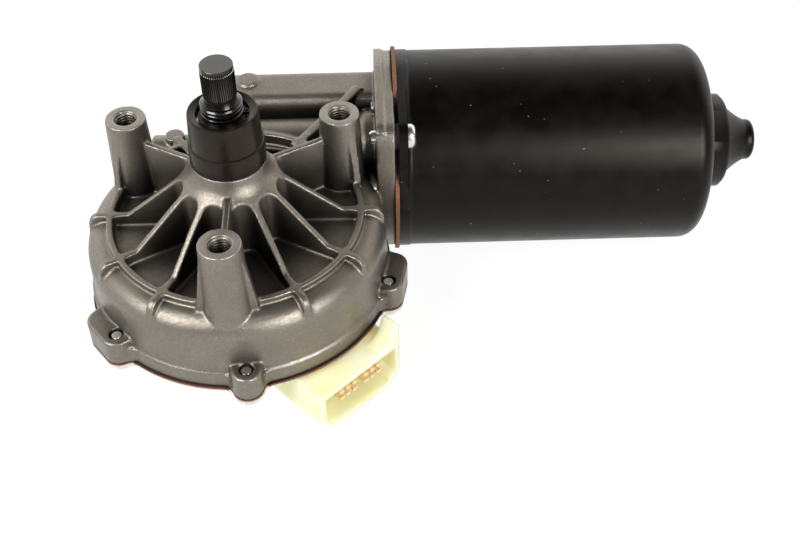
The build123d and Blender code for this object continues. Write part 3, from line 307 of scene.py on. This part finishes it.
def stoved_black_paint():
    """Stoved black enamel on drawn steel: deep black with a satin sheen, a faint orange peel
    and a stray pale speck of dust."""
    material, tree, shader, place = start_finish("stoved_black_paint")
    specks = add_node(tree, "TexNoise", {"Vector": place, "Scale": 1 / (1.4 * MM),
                                         "Detail": 0.0, "Roughness": 0.55})
    dust = add_node(tree, "MapRange", {"Value": specks, "From Min": 0.865, "From Max": 0.885})
    cloud = add_node(tree, "TexNoise", {"Vector": place, "Scale": 1 / (9.0 * MM),
                                        "Detail": 3.0, "Roughness": 0.55})
    cloud = add_node(tree, "MapRange", {"Value": cloud, "From Min": 0.35, "From Max": 0.65})
    peel = add_node(tree, "TexNoise", {"Vector": place, "Scale": 1 / (1.5 * MM),
                                       "Detail": 2.0, "Roughness": 0.55})
    black = add_node(tree, "Mix", {0: cloud, 6: srgb("#030303"), 7: srgb("#080706")},
                     data_type="RGBA")
    feed(shader, {
        "Base Color": add_node(tree, "Mix", {0: dust, 6: black, 7: srgb("#5b5955")},
                               data_type="RGBA"),
        "Roughness": add_node(tree, "MapRange", {"Value": cloud, "To Min": 0.30,
                                                 "To Max": 0.38}),
        "Normal": add_node(tree, "Bump", {"Height": peel, "Distance": 0.03 * MM,
                                          "Strength": 0.6}),
        "IOR": 1.26, "Specular Tint": srgb("#fff6e8")})
    return material


SPINDLE_TOP = 40.0
COLLAR_OIL = (24.4, 26.0)         # the oil on the collar thins out between these heights
# The bright band where the cutter ran out, bare steel brightened further as a painted
# highlight: the
# # radius at which it starts and is whole, and the heights at which it starts and is whole,
# from below and from above
RUN_OUT_R = (5.68, 5.78)
RUN_OUT_HEIGHTS = ((37.65, 37.85), (38.4, 38.25))


def blackened_steel():
    """Steel in oiled black oxide: near black with a wet glint, a little bare on its crests and
    bright where the cutter ran out at the top of each serration, both partly a painted
    highlight, and dull on its end face."""
    material, tree, shader, place = start_finish("blackened_steel")
    speckle = add_node(tree, "TexNoise", {"Vector": place, "Scale": 1 / (0.4 * MM),
                                          "Detail": 4.0, "Roughness": 0.55})
    tones = add_node(tree, "MapRange", {"Value": speckle, "From Min": 0.35, "From Max": 0.65})
    axes = add_node(tree, "SeparateXYZ", {"Vector": place}).outputs
    height = axes["Z"]

    flat = add_node(tree, "CombineXYZ", {"X": axes["X"], "Y": axes["Y"]})
    radius = add_node(tree, "VectorMath", {0: flat}, operation="LENGTH").outputs["Value"]
    cut = add_node(tree, "MapRange", {"Value": radius, "From Min": RUN_OUT_R[0] * MM,
                                      "From Max": RUN_OUT_R[1] * MM})
    for start, whole in RUN_OUT_HEIGHTS:
        level = add_node(tree, "MapRange", {"Value": height, "From Min": start * MM,
                                            "From Max": whole * MM})
        cut = add_node(tree, "Math", {0: cut, 1: level}, operation="MULTIPLY")
    # bare crests and the run-out band, brightened partly as a painted highlight
    edge = add_node(tree, "NewGeometry").outputs["Pointiness"]
    worn_and_highlight = add_node(tree, "MapRange", {"Value": edge, "From Min": 0.53, "From Max": 0.66,
                                       "To Max": 0.4})
    bare_and_highlight = add_node(tree, "Math", {0: worn_and_highlight, 1: cut}, operation="MAXIMUM")
    end_face = add_node(tree, "MapRange", {"Value": height,
                                           "From Min": (SPINDLE_TOP - 0.1) * MM,
                                           "From Max": (SPINDLE_TOP - 0.03) * MM})

    oxide = add_node(tree, "Mix", {0: tones, 6: srgb("#11100e"), 7: srgb("#2a2724")},
                     data_type="RGBA")
    for share, colour in ((end_face, "#211f1c"), (bare_and_highlight, "#d6d2ca")):
        oxide = add_node(tree, "Mix", {0: share, 6: oxide, 7: srgb(colour)}, data_type="RGBA")
    feed(shader, {
        "Base Color": oxide,
        "Metallic": add_node(tree, "MapRange", {"Value": end_face, "To Min": 1.0,
                                                "To Max": 0.1}),
        "Roughness": add_node(tree, "MapRange", {"Value": speckle, "From Min": 0.3,
                                                 "From Max": 0.7, "To Min": 0.20,
                                                 "To Max": 0.34}),
        "Coat Weight": add_node(tree, "MapRange", {
            "Value": height, "From Min": COLLAR_OIL[0] * MM, "From Max": COLLAR_OIL[1] * MM,
            "To Min": 0.9, "To Max": 0.0}),
        "Coat Roughness": 0.14,
        "Normal": add_node(tree, "Bump", {"Height": speckle, "Distance": 0.01 * MM,
                                          "Strength": 0.5})})
    return material


def natural_nylon():
    """Unfilled nylon 66 in its natural cream: milky, so light soaks through thin walls."""
    material, tree, shader, place = start_finish("natural_nylon")
    cloud = add_node(tree, "TexNoise", {"Vector": place, "Scale": 1 / (14.0 * MM),
                                        "Detail": 3.0, "Roughness": 0.55})
    cloud = add_node(tree, "MapRange", {"Value": cloud, "From Min": 0.35, "From Max": 0.65})
    flow = add_node(tree, "TexNoise", {"Vector": place, "Scale": 1 / (1.5 * MM),
                                       "Detail": 3.0, "Roughness": 0.55})
    feed(shader, {
        "Base Color": add_node(tree, "Mix", {0: cloud, 6: srgb("#fff0a8"),
                                             7: srgb("#fff6c6")}, data_type="RGBA"),
        "Roughness": 0.38, "IOR": 1.53,
        "Subsurface Weight": 1.0, "Subsurface Radius": (1.0, 0.85, 0.6),
        "Subsurface Scale": 12.0 * MM,
        "Normal": add_node(tree, "Bump", {"Height": flow, "Distance": 0.02 * MM,
                                          "Strength": 0.4})})
    return material


def fibre_gasket():
    """Punched fibre sheet: a dry red-brown edge with its fibres showing, and painted shade,
    near black, where it lies back between the flanges."""
    material, tree, shader, place = start_finish("fibre_gasket")
    fibres = add_node(tree, "TexNoise", {"Vector": place, "Scale": 1 / (0.5 * MM),
                                         "Detail": 4.0, "Roughness": 0.55})
    tones = add_node(tree, "MapRange", {"Value": fibres, "From Min": 0.3, "From Max": 0.7})
    card = add_node(tree, "Mix", {0: tones, 6: srgb("#4f2f1e"), 7: srgb("#8a5737")},
                    data_type="RGBA")
    # painted shade: near black where the gasket lies back between the flanges
    reach = add_node(tree, "AmbientOcclusion", {"Distance": 2.0 * MM}, samples=6)
    painted_gap_shade = add_node(tree, "MapRange", {"Value": reach.outputs["AO"], "From Min": 0.86,
                                        "From Max": 0.62})
    feed(shader, {
        "Base Color": add_node(tree, "Mix", {0: painted_gap_shade, 6: card, 7: srgb("#0e0b09")},
                               data_type="RGBA"),
        "Roughness": 0.75,
        "Normal": add_node(tree, "Bump", {"Height": fibres, "Distance": 0.06 * MM,
                                          "Strength": 0.6})})
    return material


finishes = {
    "cast_aluminium": die_cast_aluminium(),
    "black_paint": stoved_black_paint(),
    # barrel-plated: cool silver with a soft glint
    "zinc_steel": plain_metal("bright_zinc_plate", "#e6e6e2", "#c9cac6", 0.26, 0.5, 0.01),
    "black_oxide_steel": blackened_steel(),
    # a dry dark grey, so that a clip sinks into the shade of the sleeve
    "spring_steel": plain_metal("phosphated_spring_steel", "#35322f", "#272522", 0.36, 0.4,
                                0.008),
    # ground and lapped: nearly a mirror
    "bearing_steel": plain_metal("ground_bearing_steel", "#d9d9da", "#c6c6c8", 0.14, 0.2,
                                 0.002),
    # turned and left bare: a mid grey sheen
    "machined_steel": plain_metal("turned_steel", "#b4b2af", "#9a9895", 0.28, 0.3, 0.006),
    # a stack of stampings under varnish: dull and brownish
    "lamination_steel": plain_metal("varnished_laminations", "#77736c", "#4f4b46", 0.48, 0.5,
                                    0.02),
    # moulded: brown-black with a broad warm highlight
    "black_plastic": plain_polymer("moulded_black_polymer", "#17110d", "#0f0b08", 0.30, 0.8,
                                   0.01, 1.36, "#ffeedd"),
    "black_rubber": plain_polymer("nitrile_rubber", "#1a1a1a", "#141414", 0.62, 0.5, 0.02),
    "brown_gasket": fibre_gasket(),
    "natural_nylon": natural_nylon(),
    # hobbed from bar: a chalky cream
    "wheel_nylon": plain_polymer("machined_nylon", "#efe9d8", "#e3dbc5", 0.42, 1.0, 0.01),
    # paper laminate: a resinous brown
    "phenolic_board": plain_polymer("phenolic_board", "#6b4426", "#553419", 0.5, 0.7, 0.02),
    # stamped and tarnished to a pale tan with hardly any shine
    "contact_brass": plain_metal("stamped_brass", "#f6deb0", "#dfbb82", 0.45, 0.4, 0.01, 0.15),
    # pressed powder: an open, oily bronze
    "sintered_bronze": plain_metal("sintered_bronze", "#a07c4c", "#7d5d36", 0.46, 0.25, 0.02),
    "copper_wire": plain_metal("enamelled_copper", "#b8683a", "#8e4a24", 0.30, 0.4, 0.02),
    # fired ceramic and pressed carbon: charcoal, with a faint metallic sparkle
    "ferrite": plain_metal("sintered_ferrite", "#2c2c2e", "#202022", 0.6, 0.4, 0.02, 0.2),
    "brush_carbon": plain_metal("pressed_carbon", "#2a2a2a", "#1c1c1c", 0.5, 0.3, 0.02, 0.3),
}


def finish_cad_nodes():
    """Gives every CAD node the finish of its slot."""
    for name, node in frame["nodes"].items():
        for material_slot in node.material_slots:
            material_slot.material = finishes[slot_of[name]]


# ---------------------------------------------------------------- sleeve and spindle

SLEEVE = [(10.4, -1.1), (13.6, -1.1), (13.9, -0.7), (13.9, 7.0), (13.75, 7.4), (13.25, 7.7),
          (12.6, 19.7), (12.4, 20.3), (12.05, 20.5), (11.7, 20.45), (9.95, 19.8), (9.65, 19.6),
          (9.55, 19.3), (9.7, 19.05), (10.6, 18.95), (10.6, 16.4), (10.4, 16.4), (10.4, -1.1)]


def panel_seal_sleeve():
    """The sleeve that fills the hole in the vehicle's panel: a stepped foot, a slight taper,
    and a lip that leans in over the circlip."""
    sleeve = add_piece("panel_seal_sleeve", lathe(SLEEVE), "motor_body", "black_plastic", 24)
    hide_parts("sealing_sleeve")


SPINDLE_FOOT = [(0, -57.6), (6.2, -57.6), (7.0, -56.8), (7.0, -54.8), (6.4, -54.8),
                (6.4, -53.6), (7.0, -53.6), (7.0, -39.2), (7.5, -39.2)]
SPINDLE_NECK = [(7.5, 17.5), (6.9, 17.5), (6.9, 18.7), (7.5, 18.7), (7.5, 20.6), (7.1, 20.9),
                (7.1, 21.4), (7.5, 21.7), (7.5, 22.6), (7.15, 22.9), (7.15, 23.4), (7.5, 23.7),
                (7.5, 24.1), (7.1, 24.6), (6.5, 24.9), (5.8, 26.2), (5.5, 26.9), (5.5, 27.5),
                (0, 27.5)]
SERRATIONS = 46
SERRATED_END = [(27.0, 5.5, 5.5), (27.7, 6.0, 5.45), (37.8, 6.0, 5.45), (38.2, 5.9, 5.5),
                (38.5, 5.84, 5.82), (39.8, 5.82, 5.82),
                (SPINDLE_TOP, 5.6, 5.6)]         # height, tip radius, root radius


def output_spindle():
    """The turned spindle, with rings round its collar and a serrated end for the arm."""
    shape = lathe(SPINDLE_FOOT + SPINDLE_NECK, steps=96)
    rows = []
    for height, tip, root in SERRATED_END:
        row = bmesh.ops.create_circle(shape, segments=2 * SERRATIONS, radius=1.0)["verts"]
        for i, v in enumerate(row):
            v.co = v.co.normalized() * (tip if i % 2 else root) * MM
            v.co.z = height * MM
        rows.append(row)
    for low, high in zip(rows, rows[1:]):
        edges = {e for row in (low, high) for v in row for e in v.link_edges
                 if all(end in row for end in e.verts)}
        bmesh.ops.bridge_loops(shape, edges=list(edges))
    for end in (rows[0], rows[-1]):
        shape.faces.new(end)
    spindle = add_piece("serrated_spindle", shape, "output_spindle", "black_oxide_steel", 24)
    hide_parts("spindle")


# ---------------------------------------------------------------- gear housing

SKIN_GRID = 0.5 * MM
CASTING_TRIANGLES = 190000


def cast_housing():
    """The casting, with the soft corners that a die gives: its skin is rebuilt on an even
    grid, smoothed, and thinned again where it is flat. How far the smoothing cuts a crest
    down, in mm, is kept as an attribute, for the finish to brighten as bare metal and partly as
    a painted highlight."""
    piece = add_piece("cast_housing", merged_copy("gear_housing"), "motor_body",
                      "cast_aluminium")
    skin = piece.modifiers.new("even_skin", "REMESH")
    skin.mode = "VOXEL"
    skin.voxel_size = SKIN_GRID
    skin.use_smooth_shade = True
    settle_modifiers(piece)
    sharp = [v.co.copy() for v in piece.data.vertices]
    rounding = piece.modifiers.new("die_radius", "SMOOTH")
    rounding.factor = 0.5
    rounding.iterations = 4
    settle_modifiers(piece)
    cut = [(before - v.co).dot(v.normal) / MM for before, v in zip(sharp, piece.data.vertices)]
    piece.data.attributes.new("crest", "FLOAT", "POINT").data.foreach_set("value", cut)
    thinning = piece.modifiers.new("thin_flats", "DECIMATE")
    thinning.ratio = min(1.0, CASTING_TRIANGLES / (2 * len(piece.data.polygons)))
    settle_modifiers(piece)
    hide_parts("gear_housing")


THREAD_RIDGE = [(4.12, -1.60), (3.42, -1.08), (3.42, -0.92), (4.12, -0.40)]
THREAD_PITCH = 1.25
THREAD_TURNS = 9
THREAD_STEPS = 28                 # to a turn


def post_threads():
    """The M8 thread in each mounting post: a ridge wound down the hole."""
    shape = bmesh.new()
    verts = [shape.verts.new((r * MM, 0, z * MM)) for r, z in THREAD_RIDGE]
    edges = [shape.edges.new(pair) for pair in zip(verts, verts[1:])]
    bmesh.ops.spin(shape, geom=verts + edges, cent=(0, 0, 0), axis=(0, 0, 1),
                   dvec=(0, 0, -THREAD_PITCH * MM / THREAD_STEPS),
                   angle=2 * pi * THREAD_TURNS, steps=THREAD_STEPS * THREAD_TURNS)
    posts = [Matrix.Translation(polar(POST_PITCH_R, azimuth)) for azimuth in POST_AZIMUTHS]
    add_piece("post_threads", repeated(shape, posts), "motor_body", "cast_aluminium", 60)


# ---------------------------------------------------------------- screws

LUG_PITCH_R = 59.6 * MM
LUG_AZIMUTHS = (-137.2, -85.2, -16.4, 40.0, 140.0)
COVER_BOTTOM = -63.1 * MM
COVER_SCREW = (4.5, 12.3)         # head radius, length under the head
MOTOR_SCREW = (5.0, 14.8)
MOTOR_SCREW_X = 66.2 * MM
SHANK_R = 2.5
HEAD_DEPTH = 3.2
SOCKET_R = 1.9                    # of the hexagon socket, across its corners
SOCKET_DEPTH = 1.6


def pan_screw(head_r, length):
    """An M5 pan-head screw that points up from the underside of its head."""
    shape = lathe([(head_r - 1.9, -HEAD_DEPTH), (head_r - 1.2, -3.05), (head_r - 0.5, -2.55),
                   (head_r - 0.1, -1.8), (head_r, -1.2), (head_r, -0.2), (head_r - 0.2, 0),
                   (SHANK_R, 0), (SHANK_R, length - 0.8), (SHANK_R - 0.7, length),
                   (0, length)], steps=48)
    rim = [e for e in shape.edges if e.is_boundary]
    socket = bmesh.ops.create_circle(shape, segments=6, radius=SOCKET_R * MM,
                                     matrix=Matrix.Translation((0, 0, -HEAD_DEPTH * MM)))
    sides = list({e for v in socket["verts"] for e in v.link_edges})
    bmesh.ops.subdivide_edges(shape, edges=sides, cuts=7)
    mouth = [e for e in shape.edges if not e.link_faces]
    bmesh.ops.bridge_loops(shape, edges=rim + mouth)
    walls = bmesh.ops.extrude_edge_only(shape, edges=mouth)["geom"]
    deep = [v for v in walls if isinstance(v, bmesh.types.BMVert)]
    bmesh.ops.translate(shape, verts=deep, vec=(0, 0, SOCKET_DEPTH * MM))
    shape.faces.new(sorted(deep, key=lambda v: atan2(v.co.y, v.co.x)))
    return shape


def cover_and_motor_screws():
    """The five screws that hold the cover from below, and the two that hold the motor on."""
    lugs = [Matrix.Translation(polar(LUG_PITCH_R, azimuth, COVER_BOTTOM))
            for azimuth in LUG_AZIMUTHS]
    ears = [place @ Matrix.Rotation(radians(-90), 4, "Y") for place in ears_at(MOTOR_SCREW_X)]
    for name, screw, places, node in (
            ("cover_pan_screws", COVER_SCREW, lugs, "cover_screws"),
            ("motor_pan_screws", MOTOR_SCREW, ears, "motor_screws")):
        piece = add_piece(name, repeated(pan_screw(*screw), places), "motor_body",
                          "zinc_steel", 28)
        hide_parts(node)


# ---------------------------------------------------------------- gaskets

RIM_R = 58.5 * MM
RIM_EDGE = (55.5 * MM, 59.0 * MM)         # the gasket's edge between the lugs is in here
GASKET_SQUEEZE = 0.8 * MM                 # how far the cover's gasket stands out of its joint


def squeezed_gasket():
    """The cover's gasket with its brown edge standing proud of the rim between the lugs."""
    shape = merged_copy("cover_gasket")
    for v in shape.verts:
        reach = v.co.xy.length
        if RIM_EDGE[0] < reach < RIM_EDGE[1]:
            v.co.xy = v.co.xy * (1 + GASKET_SQUEEZE / reach)
            v.co.x = max(v.co.x, -RIM_R)
    gasket = add_piece("squeezed_gasket", shape, "motor_body", "brown_gasket")
    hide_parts("cover_gasket")


CARD_THICK = 1.6
CARD_BORE_R, CARD_R = 36.0, 42.5
CARD_CENTRE = Vector((0, 57.3, -45.7)) * MM      # a little off the motor's axis, as laid
RAGGED = 0.3 * MM
TEARS = 30                        # how finely the punch tore the card's edge
EYELET = [(2.6, 0), (5.2, 0), (5.2, CARD_THICK), (2.6, CARD_THICK), (2.6, 0)]


def card_gasket():
    """The gasket between the flanges: its punched edge is a little ragged, and an eyelet of
    the same card closes the gap round each screw."""
    far_face = FLANGE_FACE_X + CARD_THICK
    shape = lathe([(CARD_BORE_R, FLANGE_FACE_X), (CARD_R, FLANGE_FACE_X), (CARD_R, far_face),
                   (CARD_BORE_R, far_face), (CARD_BORE_R, FLANGE_FACE_X)], steps=180, axis="X")
    for v in shape.verts:
        spoke = Vector((0, v.co.y, v.co.z))
        if spoke.length > (CARD_R - 2.5) * MM:
            v.co += spoke.normalized() * RAGGED * noise.noise(spoke.normalized() * TEARS)
    bmesh.ops.translate(shape, verts=shape.verts, vec=CARD_CENTRE)
    piece = add_piece("card_gasket", shape, "motor_body", "brown_gasket")
    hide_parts("motor_gasket")
    eyelets = repeated(lathe(EYELET, steps=48, axis="X"), ears_at(FLANGE_FACE_X * MM))
    add_piece("gasket_eyelets", eyelets, "motor_body", "brown_gasket")


# ---------------------------------------------------------------- pieces kept from the CAD

MOULDED_EDGE = 0.5 * MM


def dressed_node(node, edge=0.0):
    """A copy of a CAD node that stands for it, with its edges softened by a small bevel."""
    piece = add_piece(f"{node}_dressed", merged_copy(node), frame["nodes"][node]["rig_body"],
                      slot_of[node], 30)
    if edge:
        bevel = piece.modifiers.new("soft_edges", "BEVEL")
        bevel.width = edge
        bevel.segments = 2
        bevel.limit_method = "ANGLE"
        bevel.angle_limit = radians(30)
        bevel.harden_normals = True
        settle_modifiers(piece)
    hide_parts(node)


# ---------------------------------------------------------------- camera, floor and light

LENS = 53.517                     # mm, on the default 36 mm sensor
CAMERA_AT = Vector((51.67, -335.82, 276.89)) * MM
PITCH_DOWN, YAW_RIGHT, ROLL = 45.06, 1.8, 0.32
FLOOR_Z = -87.3 * MM
FLOOR_HALF = 3.0


def stand_camera():
    """The camera, above and in front of the spindle."""
    data = bpy.data.cameras.new("camera")
    data.lens = LENS
    camera = bpy.data.objects.new("camera", data)
    turn = (Matrix.Rotation(radians(-YAW_RIGHT), 4, "Z")
            @ Matrix.Rotation(radians(90 - PITCH_DOWN), 4, "X")
            @ Matrix.Rotation(radians(-ROLL), 4, "Z"))
    camera.matrix_world = Matrix.Translation(CAMERA_AT) @ turn
    scene.collection.objects.link(camera)
    scene.camera = camera


def seen_directly(tree):
    """1 for rays from the camera, from gloss and through clear material, and 0 for others."""
    ray = add_node(tree, "LightPath").outputs
    either = add_node(tree, "Math", {0: ray["Is Camera Ray"], 1: ray["Is Glossy Ray"]},
                      operation="MAXIMUM")
    return add_node(tree, "Math", {0: either, 1: ray["Is Transmission Ray"]},
                    operation="MAXIMUM")


def white_floor():
    """Matt white board. What is seen of it is mostly its own white, less the shadow of what
    stands on it, and it throws a plain white light back up."""
    material = bpy.data.materials.new("white_floor")
    material.use_nodes = True
    tree = material.node_tree
    tree.nodes.clear()
    lit = add_node(tree, "BsdfDiffuse", {"Color": (0.17, 0.17, 0.17, 1)})
    glow = add_node(tree, "Emission", {"Color": (1, 1, 1, 1), "Strength": 0.88})
    seen = add_node(tree, "AddShader", {0: lit, 1: glow})
    bounce = add_node(tree, "BsdfDiffuse", {"Color": (0.75, 0.75, 0.75, 1)})
    choice = add_node(tree, "MixShader", {0: seen_directly(tree), 1: bounce, 2: seen})
    add_node(tree, "OutputMaterial", {"Surface": choice})
    return material


def lay_floor():
    """The board that the motor rests on."""
    shape = bmesh.new()
    bmesh.ops.create_grid(shape, x_segments=1, y_segments=1, size=FLOOR_HALF,
                          matrix=Matrix.Translation((0, 0, FLOOR_Z)))
    mesh = bpy.data.meshes.new("studio_floor")
    shape.to_mesh(mesh)
    shape.free()
    mesh.materials.append(white_floor())
    floor = bpy.data.objects.new("studio_floor", mesh)
    scene.collection.objects.link(floor)


def light_world():
    """White to the eye. In its light the room is dark overhead, bright low down behind the
    motor and dimmer in front of it."""
    world = bpy.data.worlds.new("studio")
    world.use_nodes = True
    scene.world = world
    tree = world.node_tree
    tree.nodes.clear()
    direction = add_node(tree, "TexCoord").outputs["Generated"]
    axes = add_node(tree, "SeparateXYZ", {"Vector": direction}).outputs
    behind = add_node(tree, "MapRange", {"Value": axes["Z"], "From Min": 0.5,
                                         "From Max": 0.93, "To Min": 1.7, "To Max": 0.04})
    before = add_node(tree, "MapRange", {"Value": axes["Z"], "From Min": 0.0,
                                         "From Max": 0.5, "To Min": 0.55, "To Max": 0.08})
    ahead = add_node(tree, "MapRange", {"Value": axes["Y"], "From Min": -0.15,
                                        "From Max": 0.3})
    level = add_node(tree, "Mix", {0: ahead, 2: before, 3: behind})
    room = add_node(tree, "Background", {"Color": (1, 0.985, 0.96, 1), "Strength": level})
    white = add_node(tree, "Background", {"Color": (1, 1, 1, 1), "Strength": 1.0})
    eye = add_node(tree, "LightPath").outputs["Is Camera Ray"]
    choice = add_node(tree, "MixShader", {0: eye, 1: room, 2: white})
    add_node(tree, "OutputWorld", {"Surface": choice})


def hang_lamp(name, at, aim, size, watts):
    """A soft rectangular lamp at a point, turned to face another."""
    data = bpy.data.lights.new(name, "AREA")
    data.shape = "RECTANGLE"
    data.size, data.size_y = size
    data.energy = watts
    lamp = bpy.data.objects.new(name, data)
    lamp.location = at
    lamp.rotation_euler = (Vector(aim) - Vector(at)).to_track_quat("-Z", "Y").to_euler()
    scene.collection.objects.link(lamp)


# ---------------------------------------------------------------- the whole motor

finish_cad_nodes()
panel_seal_sleeve()
output_spindle()
cast_housing()
post_threads()
cover_and_motor_screws()
squeezed_gasket()
for plain_node in ("gear_cover", "motor_can", "rear_cap", "circlips", "thrust_washers"):
    dressed_node(plain_node)
dressed_node("connector_housing", MOULDED_EDGE)
card_gasket()

stand_camera()
lay_floor()
light_world()
hang_lamp("key_left", at=(-0.75, -0.55, 0.75), aim=(0, 0, -0.05), size=(0.7, 0.7), watts=16)
hang_lamp("front_right", at=(0.72, -0.85, 0.50), aim=(0.12, 0.05, -0.05), size=(0.55, 0.6),
          watts=13.5)
scene.view_settings.view_transform = "Standard"
